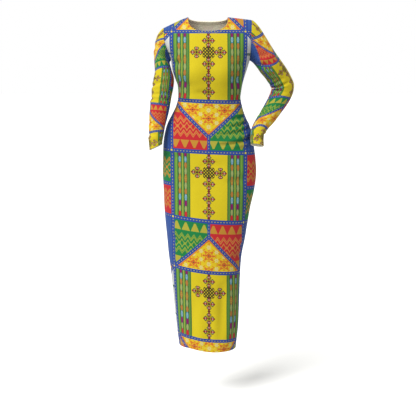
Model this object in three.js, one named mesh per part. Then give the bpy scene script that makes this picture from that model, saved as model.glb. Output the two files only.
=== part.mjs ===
import * as THREE from "three";

// A long-sleeved bodycon dress of printed stretch jersey, hollow and filled out as it is when worn.
// Millimetres, +Z up, the front faces -Y. The origin lies midway between the shoulders, at the height
// of the neck points, where the dress hangs. The right arm, at +X, is bent with its cuff by the hip.
// A maker cuts four pieces: front, back and two sleeves. Each is one wall of cloth here, thicker where
// its hem, cuff or neck edge is turned in, and the pieces stop short of each other along the seams.

const cloth = { wall: 1.5, turnedWall: 2.6, hemTurn: 20, cuffTurn: 16, stepRun: 3 };
const seams = { gap: 0.3, mostTurn: 0.7 };

// How square the body's sections are: 2 is an ellipse.
const fullness = 2.3;

// Sections of the body from the underarm to the hem: height, centre line, half width, and how far
// the front and back stand from the side seams.
const sections = [
  { z: -165, centre: 9, half: 150, front: 101, back: 91 },
  { z: -200, centre: 6, half: 142, front: 101, back: 91 },
  { z: -231, centre: 6, half: 132, front: 97, back: 86 },
  { z: -261, centre: 7.5, half: 123, front: 91, back: 79 },
  { z: -307, centre: 5, half: 120, front: 85, back: 72 },
  { z: -338, centre: 4, half: 127, front: 84, back: 75 },
  { z: -369, centre: 1, half: 139, front: 87, back: 85 },
  { z: -400, centre: 0, half: 154, front: 91, back: 98 },
  { z: -430, centre: 1, half: 165, front: 94, back: 110 },
  { z: -477, centre: 1.5, half: 173.5, front: 97, back: 123 },
  { z: -540, centre: 5, half: 179, front: 98, back: 130 },
  { z: -600, centre: 6, half: 181, front: 99, back: 128 },
  { z: -664, centre: 3.5, half: 175.5, front: 103, back: 115 },
  { z: -727, centre: -2.5, half: 167.5, front: 106, back: 104 },
  { z: -790, centre: -5.5, half: 160, front: 107, back: 97 },
  { z: -854, centre: -7.5, half: 152, front: 106, back: 93 },
  { z: -918, centre: -11, half: 143, front: 103, back: 91 },
  { z: -982, centre: -9.5, half: 136.5, front: 100, back: 91 },
  { z: -1062, centre: -7, half: 131.5, front: 98, back: 92 },
  { z: -1127, centre: -5, half: 127.5, front: 99, back: 94 },
  { z: -1192, centre: -3.5, half: 123, front: 100, back: 95 },
  { z: -1290, centre: -2, half: 112.5, front: 100, back: 95 },
];
const underarm = sections[0];
// The hem, and how far it hangs higher at the left side than elsewhere.
const hem = { z: sections.at(-1).z, lift: 14 };

// The two soft rounds that the bust of the front is cut for.
const bust = { x: 62, z: -214, width: 58, height: 62, out: 16 };

// The line over the shoulders where front and back meet.
const ridge = [
  { x: -210, z: -60, y: 8 },
  { x: -170, z: -41, y: 8 },
  { x: -76, z: 0, y: 2 },
  { x: 0, z: 12, y: 0 },
  { x: 76, z: 0, y: 2 },
  { x: 167, z: -11, y: 8 },
  { x: 210, z: -20, y: 8 },
];
const neck = { half: 76, share: 0.4 };

// Edges of the armholes, seen from the front, from the underarm (climb 0) to the shoulder point (1).
const armholes = {
  left: [
    { climb: 0, x: underarm.centre - underarm.half },
    { climb: 0.1, x: -143.5 },
    { climb: 0.3, x: -153 },
    { climb: 0.55, x: -163 },
    { climb: 0.8, x: -168 },
    { climb: 1, x: -170 },
  ],
  right: [
    { climb: 0, x: underarm.centre + underarm.half },
    { climb: 0.1, x: 161 },
    { climb: 0.3, x: 162.5 },
    { climb: 0.55, x: 164.5 },
    { climb: 0.8, x: 166 },
    { climb: 1, x: 167 },
  ],
};
// How the form that the chest is cut from runs on above the underarm: its centre line drifts to the
// middle, and it widens, at first as fast as the sections below do.
const chest = { centreTop: -1, spread: 60, startSlope: 0.4 };

// What differs between the two body panels. Rise and round shape the fall from the shoulders.
const panels = {
  front: { sign: -1, depth: "front", rise: 1.9, round: 1.2, neckDrop: 52, neckCorner: 2.6 },
  back: { sign: 1, depth: "back", rise: 1.8, round: 2, neckDrop: 16, neckCorner: 2.4 },
};

// Rings of the sleeves: centre, half width across in the front view, half depth, and slant, the
// distance that the outer side of the ring runs on past its centre.
const sleeves = {
  left: [
    { x: -170.5, y: -12, z: -205, half: 32, deep: 43, slant: 0 },
    { x: -168.5, y: -23, z: -232, half: 39, deep: 41, slant: 0 },
    { x: -171.5, y: -31, z: -260, half: 40, deep: 39.5, slant: 0 },
    { x: -176, y: -36, z: -290, half: 38.5, deep: 38.5, slant: 0 },
    { x: -180.5, y: -40, z: -320, half: 38, deep: 37.5, slant: 0 },
    { x: -185, y: -45, z: -350, half: 37, deep: 36, slant: 0 },
    { x: -190, y: -50, z: -380, half: 34.5, deep: 33.5, slant: 1 },
    { x: -194, y: -55, z: -410, half: 31, deep: 31, slant: 3 },
    { x: -196.5, y: -61, z: -440, half: 28.5, deep: 29, slant: 6 },
    { x: -198.5, y: -66, z: -465, half: 26.5, deep: 27.5, slant: 9 },
    { x: -198.5, y: -70, z: -490, half: 24.5, deep: 26.5, slant: 11 },
  ],
  right: [
    { x: 239, y: 16, z: -185, half: 45.5, deep: 45, slant: 0 },
    { x: 254.5, y: 25, z: -204, half: 44.5, deep: 43.5, slant: 0 },
    { x: 269.5, y: 34, z: -225, half: 44, deep: 42, slant: 0 },
    { x: 281.5, y: 41, z: -246, half: 44, deep: 41, slant: 0 },
    { x: 289, y: 44, z: -266, half: 44, deep: 41, slant: 0 },
    { x: 287, y: 43, z: -285, half: 42, deep: 40, slant: 0 },
    { x: 279, y: 39, z: -304, half: 40.5, deep: 39, slant: 0 },
    { x: 268, y: 31, z: -323, half: 38.5, deep: 37, slant: 0 },
    { x: 255, y: 21, z: -342, half: 36.5, deep: 36, slant: 0 },
    { x: 230, y: 0, z: -378, half: 33.5, deep: 33, slant: 0 },
    { x: 211, y: -17, z: -401, half: 30.5, deep: 31, slant: 0 },
    { x: 197, y: -32, z: -420, half: 28.5, deep: 29.5, slant: 0 },
    { x: 189, y: -45, z: -438, half: 27, deep: 28.5, slant: 2 },
    { x: 186.5, y: -55, z: -458, half: 26, deep: 27.5, slant: 4 },
    { x: 188, y: -63, z: -483, half: 25, deep: 26.5, slant: 5 },
  ],
};
// How a sleeve's head leaves the armhole: steps, pull along the body and along the arm, and how much
// of the arm's own direction it has at the shoulder and at the underarm. The arm that hangs rounds the
// cloth more over its shoulder than the one that is held out.
const head = { steps: 5, armPull: 1, ownUnder: 0.35, frontShare: 0.35 };
const headTops = { left: { bodyPull: 1, ownTop: 0.2 }, right: { bodyPull: 0.6, ownTop: 0.4 } };

const columns = 20;
const bodySteps = 23;
const climbs = [0.025, 0.07, 0.14, 0.23, 0.34, 0.46, 0.58, 0.7, 0.81, 0.91, 1];

const mix = (a, b, share) => a + (b - a) * share;
const clamp = (value, low, high) => Math.min(high, Math.max(low, value));
const ease = (value) => clamp(value, 0, 1) ** 2 * (3 - 2 * clamp(value, 0, 1));

const unitBetween = (a, b) => new THREE.Vector3().subVectors(b, a).normalize();

// A column of a table at one value of its key, on a cubic curve through the rows.
function along(table, key, value, column) {
  const way = Math.sign(table[1][key] - table[0][key]);
  const last = table.length - 1;
  const at = clamp(way * value, way * table[0][key], way * table[last][key]) * way;
  let i = 0;
  while (i < last - 1 && way * at > way * table[i + 1][key]) i++;
  const slope = (n) => {
    const [a, b] = [table[Math.max(0, n - 1)], table[Math.min(last, n + 1)]];
    return (b[column] - a[column]) / (b[key] - a[key]);
  };
  const [a, b] = [table[i], table[i + 1]];
  const run = b[key] - a[key];
  const s = (at - a[key]) / run;
  const rest = 1 - s;
  return (
    a[column] * (1 + 2 * s) * rest * rest +
    b[column] * (3 - 2 * s) * s * s +
    run * s * rest * (slope(i) * rest - slope(i + 1) * s)
  );
}

// How far the cloth stands out over the bust at a point of the front. Across is the point's share of
// the half width there, and the rounds run out towards the side seams.
function bustOut(panel, x, z, across) {
  if (panel.sign > 0) return 0;
  const aside = (Math.abs(x - along(sections, "z", z, "centre")) - bust.x) / bust.width;
  const up = (z - bust.z) / bust.height;
  return bust.out * Math.exp(-aside * aside - up * up) * (1 - across ** fullness) ** 0.25;
}

// A point below the underarm. Turn runs from -1 at the left side seam to 1 at the right one.
function lowerPoint(panel, turn, z) {
  const angle = (turn * Math.PI) / 2;
  const across = Math.abs(Math.sin(angle)) ** (2 / fullness);
  const x =
    along(sections, "z", z, "centre") + Math.sign(angle) * across * along(sections, "z", z, "half");
  const out =
    along(sections, "z", z, panel.depth) * Math.max(0, Math.cos(angle)) ** (2 / fullness);
  const low = clamp((underarm.z - z) / (underarm.z - hem.z), 0, 1) ** 3;
  const height = z + low * hem.lift * ease(0.3 - angle);
  return new THREE.Vector3(x, panel.sign * (out + bustOut(panel, x, z, across)), height);
}

// The top edge of a panel: the shoulder line, and between the neck points the neckline.
function topEdge(panel, turn) {
  const part = Math.abs(turn) / neck.share;
  if (part <= 1) {
    const angle = (part * Math.PI) / 2;
    const power = 2 / panel.neckCorner;
    return {
      x: Math.sign(turn) * neck.half * Math.sin(angle) ** power,
      z: -panel.neckDrop * Math.max(0, Math.cos(angle)) ** power,
    };
  }
  const tip = armholes[turn < 0 ? "left" : "right"].at(-1).x;
  const x = mix(Math.sign(turn) * neck.half, tip, (part - 1) / (1 / neck.share - 1));
  return { x, z: along(ridge, "x", x, "z") };
}

// The form's centre line and half width above the underarm.
function chestForm(climb) {
  const s = clamp(climb, 0, 1);
  const k = chest.startSlope;
  const grown = k * s + (3 - 2 * k) * s * s + (k - 2) * s * s * s;
  return {
    centre: mix(underarm.centre, chest.centreTop, ease(s)),
    reach: underarm.half + chest.spread * grown,
  };
}

// A point's x on a level row above the underarm, before the neck draws the columns aside.
function levelX(turn, climb) {
  const { centre, reach } = chestForm(climb);
  const edge = along(armholes[turn < 0 ? "left" : "right"], "climb", climb, "x");
  const share = clamp(Math.abs(edge - centre) / reach, 0, 1) ** (fullness / 2);
  const angle = Math.abs(turn) * Math.asin(share);
  return centre + Math.sign(turn) * reach * Math.sin(angle) ** (2 / fullness);
}

// A point above the underarm. Climb runs from 0 there to 1 at the panel's top edge.
function upperPoint(panel, turn, climb) {
  const top = topEdge(panel, turn);
  const x = levelX(turn, climb) + climb * climb * (top.x - levelX(turn, 1));
  const z = mix(underarm.z, top.z, climb);
  const share = clamp((z - underarm.z) / (along(ridge, "x", x, "z") - underarm.z), 0, 1);
  const { centre, reach } = chestForm(share);
  const across = clamp(Math.abs(x - centre) / reach, 0, 1);
  const level = underarm[panel.depth] * (1 - across ** fullness) ** (1 / fullness);
  const fall = (1 - share ** panel.rise) ** (1 / panel.round);
  const out = level * fall + bustOut(panel, x, z, across);
  const y = along(ridge, "x", x, "y") * share + panel.sign * out;
  return new THREE.Vector3(x, y, z);
}

// Rows of a panel from the hem up. Each has a function for its points and the wall's thickness.
function panelRows() {
  const turned = hem.z + cloth.hemTurn;
  const first = turned + cloth.stepRun;
  const heights = [hem.z, turned];
  for (let i = 0; i <= bodySteps; i++) heights.push(mix(first, underarm.z, i / bodySteps));
  return [
    ...heights.map((z) => ({
      point: (panel, turn) => lowerPoint(panel, turn, z),
      wall: () => (z <= turned ? cloth.turnedWall : cloth.wall),
    })),
    ...climbs.map((climb) => ({
      point: (panel, turn) => upperPoint(panel, turn, climb),
      wall: (turn) =>
        climb > climbs.at(-3) && Math.abs(turn) < neck.share ? cloth.turnedWall : cloth.wall,
    })),
  ];
}

// A grid of points with a normal and a wall at each. Ring says that the columns close on themselves.
function makeGrid(points, walls, ring, outward) {
  const rows = points.length;
  const width = points[0].length;
  const step = (j) => (ring ? (j + width) % width : clamp(j, 0, width - 1));
  const normals = points.map((row, i) =>
    row.map((_, j) => {
      const across = new THREE.Vector3().subVectors(row[step(j + 1)], row[step(j - 1)]);
      const up = new THREE.Vector3().subVectors(
        points[Math.min(rows - 1, i + 1)][j],
        points[Math.max(0, i - 1)][j],
      );
      return across.cross(up).multiplyScalar(outward).normalize();
    }),
  );
  return { points, normals, walls, ring };
}

function panelGrid(panel) {
  const rows = panelRows();
  const turns = Array.from({ length: columns + 1 }, (_, j) => (2 * j) / columns - 1);
  const points = rows.map((row) => turns.map((turn) => row.point(panel, turn)));
  const walls = rows.map((row) => turns.map((turn) => row.wall(turn)));
  return makeGrid(points, walls, false, -panel.sign);
}

// The armhole seam as places on the two panels: up the front from the underarm, then down the back.
function armholePlaces(grids, side) {
  const j = side === "left" ? 0 : columns;
  const base = grids.front.points.length - 1 - climbs.length;
  const top = grids.front.points.length - 1;
  const places = [{ grid: grids.front, i: base, j }];
  for (let i = base + 1; i <= top; i++) places.push({ grid: grids.front, i, j });
  for (let i = top - 1; i > base; i--) places.push({ grid: grids.back, i, j });
  return places;
}

// Half a turn for each half of the armhole, in step with the seam's length.
function seamAngles(loop) {
  const half = loop.length / 2;
  const at = (n) => loop[n % loop.length];
  const lengths = loop.map((_, n) => at(n).distanceTo(at(n + 1)));
  const total = (from) => lengths.slice(from, from + half).reduce((a, b) => a + b, 0);
  let run = 0;
  return loop.map((_, n) => {
    if (n % half === 0) run = 0;
    const angle = Math.PI * (Math.floor(n / half) + run / total(n < half ? 0 : half));
    run += lengths[n];
    return angle;
  });
}

// The sleeve's rings. Angle 0 is its underarm line, and half a turn on is the line down from the
// shoulder point. The ring's own axes are carried along the arm without twisting.
function sleeveRings(table, angles, side) {
  const centres = table.map((ring) => new THREE.Vector3(ring.x, ring.y, ring.z));
  const inward = new THREE.Vector3(side === "left" ? 1 : -1, 0, 0);
  return table.map((ring, n) => {
    const before = centres[Math.max(0, n - 1)];
    const after = centres[Math.min(table.length - 1, n + 1)];
    const along = new THREE.Vector3().subVectors(after, before).normalize();
    inward.addScaledVector(along, -inward.dot(along)).normalize();
    const forward = new THREE.Vector3(0, -1, 0);
    forward.addScaledVector(along, -forward.dot(along));
    forward.addScaledVector(inward, -forward.dot(inward)).normalize();
    const points = angles.map((angle) =>
      centres[n]
        .clone()
        .addScaledVector(inward, ring.half * Math.cos(angle))
        .addScaledVector(forward, ring.deep * Math.sin(angle))
        .addScaledVector(along, -ring.slant * Math.cos(angle)),
    );
    return { along, points };
  });
}

// Rings between the armhole and the first ring of the arm, on cubic curves that leave the seam along
// the body's cloth at the shoulder, and more along the arm towards the underarm.
function headRings(places, loop, angles, ring, side) {
  const outward = side === "left" ? -1 : 1;
  const { bodyPull, ownTop } = headTops[side];
  const leaving = places.map(({ grid, i, j }, n) => {
    const under = (1 + Math.cos(angles[n])) / 2;
    const away = unitBetween(grid.points[i][j - outward], grid.points[i][j]);
    away.y *= head.frontShare;
    away.normalize().lerp(new THREE.Vector3(outward, 0, 0), ease(1.4 * under)).normalize();
    return away.lerp(ring.along, mix(ownTop, head.ownUnder, under)).normalize();
  });
  const rows = [];
  for (let k = 1; k < head.steps; k++) {
    const s = k / head.steps;
    const rest = 1 - s;
    rows.push(
      loop.map((start, n) => {
        const end = ring.points[n];
        const span = start.distanceTo(end);
        return new THREE.Vector3()
          .addScaledVector(start, (1 + 2 * s) * rest * rest)
          .addScaledVector(end, (3 - 2 * s) * s * s)
          .addScaledVector(leaving[n], bodyPull * span * s * rest * rest)
          .addScaledVector(ring.along, -head.armPull * span * s * s * rest);
      }),
    );
  }
  return rows;
}

function sleeveGrid(grids, side) {
  const table = sleeves[side];
  const places = armholePlaces(grids, side);
  const loop = places.map(({ grid, i, j }) => grid.points[i][j].clone());
  const angles = seamAngles(loop);
  const rings = sleeveRings(table, angles, side);
  const cuff = rings.at(-1);
  const back = (distance) => cuff.points.map((p) => p.clone().addScaledVector(cuff.along, -distance));
  const turned = [back(cloth.cuffTurn + cloth.stepRun), back(cloth.cuffTurn), cuff.points];
  const points = [
    loop,
    ...headRings(places, loop, angles, rings[0], side),
    ...rings.slice(0, -1).map((ring) => ring.points),
    ...turned,
  ];
  const walls = points.map((row, i) =>
    row.map(() => (i >= points.length - 2 ? cloth.turnedWall : cloth.wall)),
  );
  const grid = makeGrid(points, walls, true, side === "left" ? 1 : -1);
  return { grid, places };
}

// Where pieces meet, they share one normal, so that their cut edges stay parallel, except in the sharp
// fold of the underarm. Each piece is drawn back along its own cloth by half the gap. A seam point holds
// the seam's direction and, for each piece, its place on the grid and the neighbour that the cloth runs
// on to.
function closeSeams(seam) {
  const moves = [];
  for (const { way, holders } of seam) {
    const shared = new THREE.Vector3();
    for (const { grid, i, j } of holders) shared.add(grid.normals[i][j]);
    shared.normalize();
    const across = new THREE.Vector3().crossVectors(way, shared).normalize();
    for (const { grid, i, j, to } of holders) {
      const own = grid.normals[i][j];
      const turned = own.clone().lerp(shared, Math.min(1, seams.mostTurn / own.angleTo(shared)));
      turned.normalize();
      grid.walls[i][j] = cloth.wall / own.dot(turned);
      own.copy(turned);
      const back = new THREE.Vector3().subVectors(grid.points[to[0]][to[1]], grid.points[i][j]);
      back.addScaledVector(way, -back.dot(way)).normalize();
      const distance = seams.gap / 2 / Math.max(0.4, Math.abs(back.dot(across)));
      moves.push([grid.points[i][j], back.multiplyScalar(distance)]);
    }
  }
  for (const [point, move] of moves) point.add(move);
}

function sideSeam(grids, base, j) {
  const inner = j === 0 ? 1 : j - 1;
  const column = grids.front.points.map((row) => row[j]);
  return Array.from({ length: base + 1 }, (_, i) => ({
    way: unitBetween(column[Math.max(0, i - 1)], column[i + 1]),
    holders: [grids.front, grids.back].map((grid) => ({ grid, i, j, to: [i, inner] })),
  }));
}

function shoulderSeams(grids, top) {
  const seam = [];
  const row = grids.front.points[top];
  for (let j = 0; j <= columns; j++)
    if (Math.abs((2 * j) / columns - 1) > neck.share - 1e-6)
      seam.push({
        way: unitBetween(row[Math.max(0, j - 1)], row[Math.min(columns, j + 1)]),
        holders: [grids.front, grids.back].map((grid) => ({ grid, i: top, j, to: [top - 1, j] })),
      });
  return seam;
}

function armholeSeam(grids, { grid: sleeve, places }, base, top) {
  const loop = places.map(({ grid, i, j }) => grid.points[i][j]);
  return places.map(({ grid, i, j }, n) => {
    const corner = i === base || i === top;
    const to = i === base ? [i - 1, j] : [i, j === 0 ? 1 : j - 1];
    const panelsThere = corner ? [grids.front, grids.back] : [grid];
    return {
      way: unitBetween(loop.at(n - 1), loop[(n + 1) % loop.length]),
      holders: [
        ...panelsThere.map((panel) => ({ grid: panel, i, j, to })),
        { grid: sleeve, i: 0, j: n, to: [1, n] },
      ],
    };
  });
}

// The closed wall of cloth on a grid: the outer face, the inner face and the cut edges.
function wallGeometry(grid) {
  const rows = grid.points.length;
  const width = grid.points[0].length;
  const positions = [];
  for (const inner of [false, true])
    grid.points.forEach((row, i) =>
      row.forEach((point, j) => {
        const depth = inner ? -grid.walls[i][j] : 0;
        positions.push(...point.clone().addScaledVector(grid.normals[i][j], depth).toArray());
      }),
    );
  const count = rows * width;
  const at = (i, j, inner) => i * width + (j % width) + (inner ? count : 0);
  const faces = [];
  const quad = (a, b, c, d) => faces.push(a, b, c, a, c, d);
  const spans = grid.ring ? width : width - 1;
  for (let i = 0; i < rows - 1; i++)
    for (let j = 0; j < spans; j++) {
      quad(at(i, j), at(i, j + 1), at(i + 1, j + 1), at(i + 1, j));
      quad(at(i, j, 1), at(i + 1, j, 1), at(i + 1, j + 1, 1), at(i, j + 1, 1));
    }
  for (let j = 0; j < spans; j++) {
    // A cut edge is split from its outer corner on the side nearer to row or column 0, as its
    // neighbour's is. A sleeve runs down its second half, so the split turns round there.
    if (grid.ring && j >= width / 2) quad(at(0, j, 1), at(0, j + 1, 1), at(0, j + 1), at(0, j));
    else quad(at(0, j), at(0, j, 1), at(0, j + 1, 1), at(0, j + 1));
    quad(at(rows - 1, j), at(rows - 1, j + 1), at(rows - 1, j + 1, 1), at(rows - 1, j, 1));
  }
  if (!grid.ring)
    for (let i = 0; i < rows - 1; i++) {
      quad(at(i, 0), at(i + 1, 0), at(i + 1, 0, 1), at(i, 0, 1));
      quad(at(i, width - 1), at(i, width - 1, 1), at(i + 1, width - 1, 1), at(i + 1, width - 1));
    }
  const geometry = new THREE.BufferGeometry();
  geometry.setAttribute("position", new THREE.Float32BufferAttribute(positions, 3));
  geometry.setIndex(faces);
  return geometry;
}

// A mesh is turned right side out by the sign of the volume that its faces enclose.
function faceOut(geometry) {
  const p = geometry.getAttribute("position");
  const index = geometry.index.array;
  const corner = (n) => new THREE.Vector3().fromBufferAttribute(p, index[n]);
  let volume = 0;
  for (let n = 0; n < index.length; n += 3)
    volume += corner(n).dot(corner(n + 1).cross(corner(n + 2)));
  if (volume < 0)
    for (let n = 0; n < index.length; n += 3) [index[n + 1], index[n + 2]] = [index[n + 2], index[n + 1]];
  geometry.computeVertexNormals();
  return geometry;
}

function makeDress() {
  const grids = { front: panelGrid(panels.front), back: panelGrid(panels.back) };
  const arms = { left: sleeveGrid(grids, "left"), right: sleeveGrid(grids, "right") };
  const top = grids.front.points.length - 1;
  const base = top - climbs.length;
  closeSeams([
    ...sideSeam(grids, base, 0),
    ...sideSeam(grids, base, columns),
    ...shoulderSeams(grids, top),
    ...armholeSeam(grids, arms.left, base, top),
    ...armholeSeam(grids, arms.right, base, top),
  ]);
  return { ...grids, sleeve_left: arms.left.grid, sleeve_right: arms.right.grid };
}

const printedJersey = new THREE.MeshStandardMaterial({ color: 0xcdb41c, roughness: 0.75, metalness: 0 });
const dress = new THREE.Group();
for (const [name, grid] of Object.entries(makeDress())) {
  const mesh = new THREE.Mesh(faceOut(wallGeometry(grid)), printedJersey.clone());
  mesh.name = name;
  dress.add(mesh);
}

export default dress;
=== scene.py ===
import math

import bpy
import mathutils
import numpy as np
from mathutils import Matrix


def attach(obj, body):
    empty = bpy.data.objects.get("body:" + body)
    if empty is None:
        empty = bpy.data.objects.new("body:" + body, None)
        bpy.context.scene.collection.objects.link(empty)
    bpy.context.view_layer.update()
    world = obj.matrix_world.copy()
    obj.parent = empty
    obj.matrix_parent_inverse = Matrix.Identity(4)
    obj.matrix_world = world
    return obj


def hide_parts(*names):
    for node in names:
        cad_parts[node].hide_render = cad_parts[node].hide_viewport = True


# A long-sleeved bodycon dress of printed stretch jersey. Shapes are worked out in millimetres on
# grids and go into the meshes in metres.

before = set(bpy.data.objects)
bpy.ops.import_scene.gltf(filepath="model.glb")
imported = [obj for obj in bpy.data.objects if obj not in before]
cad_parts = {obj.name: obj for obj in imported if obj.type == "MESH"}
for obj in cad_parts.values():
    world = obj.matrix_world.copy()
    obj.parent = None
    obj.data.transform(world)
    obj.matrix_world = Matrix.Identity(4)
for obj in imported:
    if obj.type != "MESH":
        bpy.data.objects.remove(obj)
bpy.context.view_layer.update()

mm = 0.001
tiny = 1e-9
fullness = 2.3  # how square the body's level sections are: 2 is an ellipse

# camera

cameraSettings = {
    "distance": 4.5, "down": 9, "targetHeight": -0.735, "lens": 99.85, "sensor": 36, "farthest": 50,
}


def makeCamera(settings):
    # On a circle round the target in the middle plane, looking down at it.
    down = math.radians(settings["down"])
    lens = bpy.data.cameras.new("camera")
    lens.lens = settings["lens"]
    lens.sensor_width = settings["sensor"]
    lens.clip_end = settings["farthest"]
    camera = bpy.data.objects.new("camera", lens)
    camera.location = (
        0,
        -settings["distance"] * math.cos(down),
        settings["targetHeight"] + settings["distance"] * math.sin(down),
    )
    camera.rotation_euler = (math.pi / 2 - down, 0, 0)
    bpy.context.scene.collection.objects.link(camera)
    bpy.context.scene.camera = camera


makeCamera(cameraSettings)
bpy.context.scene.view_settings.view_transform = "Standard"

# the form of the body

bodySections = {
    "z": [-165, -200, -231, -261, -307, -338, -369, -400, -430, -477, -540, -600, -664, -727, -790,
          -854, -918, -982, -1062, -1127, -1192, -1290],
    "centre": [9, 6, 6, 7.5, 5, 4, 1, 0, 1, 1.5, 5, 6, 3.5, -2.5, -5.5, -7.5, -11, -9.5, -7, -5,
               -3.5, -2],
    "half": [150, 142, 132, 123, 120, 127, 139, 154, 165, 173.5, 179, 181, 175.5, 167.5, 160, 152,
             143, 136.5, 131.5, 127.5, 123, 112.5],
    "front": [101, 101, 97, 91, 85, 84, 87, 91, 94, 97, 98, 99, 103, 106, 107, 106, 103, 100, 98, 99,
              100, 100],
    "back": [91, 91, 86, 79, 72, 75, 85, 98, 110, 123, 130, 128, 115, 104, 97, 93, 91, 91, 92, 94,
             95, 95],
}
underarm = {key: values[0] for key, values in bodySections.items()}
hem = {"z": -1290, "lift": 14, "liftPower": 3, "liftTo": 0.3}  # it is lifted towards the left
bust = {"x": 62, "z": -214, "width": 58, "height": 62, "out": 16, "fade": 0.25}
shoulderLine = {
    "x": [-210, -170, -76, 0, 76, 167, 210],
    "z": [-60, -41, 0, 12, 0, -11, -20],
    "y": [8, 8, 2, 0, 2, 8, 8],
}
neck = {"half": 76, "share": 0.4, "blend": 0.02, "stitchEnd": 0.004}
armholes = {
    "left": {"climb": [0, 0.1, 0.3, 0.55, 0.8, 1], "x": [-141, -143.5, -153, -163, -168, -170]},
    "right": {"climb": [0, 0.1, 0.3, 0.55, 0.8, 1], "x": [159, 161, 162.5, 164.5, 166, 167]},
}
chest = {"centreTop": -1, "spread": 60, "startSlope": 0.4}
panels = {
    "front": {"sign": -1, "rise": 1.9, "round": 1.2, "neckDrop": 52, "neckCorner": 2.6},
    "back": {"sign": 1, "rise": 1.8, "round": 2, "neckDrop": 16, "neckCorner": 2.4},
}
cloth = {
    "wall": 1.5, "turnedWall": 2.6, "hemTurn": 20, "cuffTurn": 16, "neckTurn": 14, "turnFade": 1.5,
    "gap": 0.3,
}


def ease(value):
    # A cubic from 0 to 1 that starts and ends level.
    value = np.clip(value, 0, 1)
    return value * value * (3 - 2 * value)


def mix(a, b, share):
    # In a straight line from a to b.
    return a + (b - a) * share


def unit(vectors):
    # Each vector over its length.
    return vectors / np.linalg.norm(vectors, axis=-1, keepdims=True)


def curveThrough(keys, values, at):
    # A cubic through the rows of a table, with each row's slope taken from its neighbours.
    keys, values = np.asarray(keys, float), np.asarray(values, float)
    if keys[0] > keys[-1]:
        keys, values = keys[::-1], values[::-1]
    before, after = np.r_[0, 0 : len(keys) - 1], np.r_[1 : len(keys), len(keys) - 1]
    slopes = (values[after] - values[before]) / (keys[after] - keys[before])
    at = np.clip(at, keys[0], keys[-1])
    i = np.clip(np.searchsorted(keys, at, side="right") - 1, 0, len(keys) - 2)
    run = keys[i + 1] - keys[i]
    s = (at - keys[i]) / run
    rest = 1 - s
    return (
        values[i] * (1 + 2 * s) * rest**2
        + values[i + 1] * (3 - 2 * s) * s**2
        + run * s * rest * (slopes[i] * rest - slopes[i + 1] * s)
    )


def section(column, z):
    # One measure of the body's level sections, read at a height.
    return curveThrough(bodySections["z"], bodySections[column], z)


def bustOut(panel, x, z, across):
    # Two rounds, each a Gaussian of the distance from its middle, that run out at the side seams.
    if panel["sign"] > 0:
        return 0 * x
    aside = (np.abs(x - section("centre", z)) - bust["x"]) / bust["width"]
    up = (z - bust["z"]) / bust["height"]
    fade = np.clip(1 - across**fullness, 0, 1) ** bust["fade"]
    return bust["out"] * np.exp(-aside**2 - up**2) * fade


def chestForm(climb):
    # Centre line and half width above the underarm: a cubic that starts with the sections' own slope.
    s = np.clip(climb, 0, 1)
    k = chest["startSlope"]
    grown = k * s + (3 - 2 * k) * s**2 + (k - 2) * s**3
    return mix(underarm["centre"], chest["centreTop"], ease(s)), underarm["half"] + chest["spread"] * grown


def lowerPoints(name, turn, z):
    # Below the underarm a level section is a superellipse, and turn is a quarter turn's share.
    panel = panels[name]
    angle = turn * np.pi / 2
    across = np.abs(np.sin(angle)) ** (2 / fullness)
    x = section("centre", z) + np.sign(angle) * across * section("half", z)
    out = section(name, z) * np.clip(np.cos(angle), 0, 1) ** (2 / fullness)
    low = np.clip((underarm["z"] - z) / (underarm["z"] - hem["z"]), 0, 1) ** hem["liftPower"]
    y = panel["sign"] * (out + bustOut(panel, x, z, across))
    return np.stack([x, y, z + low * hem["lift"] * ease(hem["liftTo"] - angle)], -1)


def topEdge(panel, turn):
    # The neckline is a superellipse between the neck points, and the shoulder line is beyond them.
    part = np.abs(turn) / neck["share"]
    angle = np.clip(part, 0, 1) * np.pi / 2
    power = 2 / panel["neckCorner"]
    tip = np.where(turn < 0, armholes["left"]["x"][-1], armholes["right"]["x"][-1])
    beyond = np.clip((part - 1) / (1 / neck["share"] - 1), 0, 1)
    x = np.where(
        part <= 1,
        np.sign(turn) * neck["half"] * np.sin(angle) ** power,
        mix(np.sign(turn) * neck["half"], tip, beyond),
    )
    dip = -panel["neckDrop"] * np.clip(np.cos(angle), 0, 1) ** power
    return x, np.where(part <= 1, dip, curveThrough(shoulderLine["x"], shoulderLine["z"], x))


def levelX(turn, climb):
    # Across the chest: the sine of turn's share of the angle at which the level meets the armhole.
    centre, reach = chestForm(climb)
    left, right = [curveThrough(hole["climb"], hole["x"], climb) for hole in armholes.values()]
    share = np.clip(np.abs(np.where(turn < 0, left, right) - centre) / reach, 0, 1) ** (fullness / 2)
    return centre + np.sign(turn) * reach * np.sin(np.abs(turn) * np.arcsin(share)) ** (2 / fullness)


def upperDepth(name, x, z):
    # Above the underarm the cloth falls from the shoulder line as a power of its share of the rise.
    panel = panels[name]
    ridge = curveThrough(shoulderLine["x"], shoulderLine["z"], x)
    share = np.clip((z - underarm["z"]) / (ridge - underarm["z"]), 0, 1)
    centre, reach = chestForm(share)
    across = np.clip(np.abs(x - centre) / reach, 0, 1)
    level = underarm[name] * (1 - across**fullness) ** (1 / fullness)
    out = level * (1 - share ** panel["rise"]) ** (1 / panel["round"]) + bustOut(panel, x, z, across)
    return curveThrough(shoulderLine["x"], shoulderLine["y"], x) * share + panel["sign"] * out


def upperPoints(name, turn, climb):
    # Climb runs from 0 at the underarm to 1 at the top edge, whose neckline draws the columns aside.
    topX, topZ = topEdge(panels[name], turn)
    x = levelX(turn, climb) + climb**2 * (topX - levelX(turn, np.ones_like(climb)))
    z = mix(underarm["z"], topZ, climb)
    return np.stack([x, upperDepth(name, x, z), z], -1)


# where the print lies on the cloth, in millimetres of the print; the tables go by height

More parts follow.
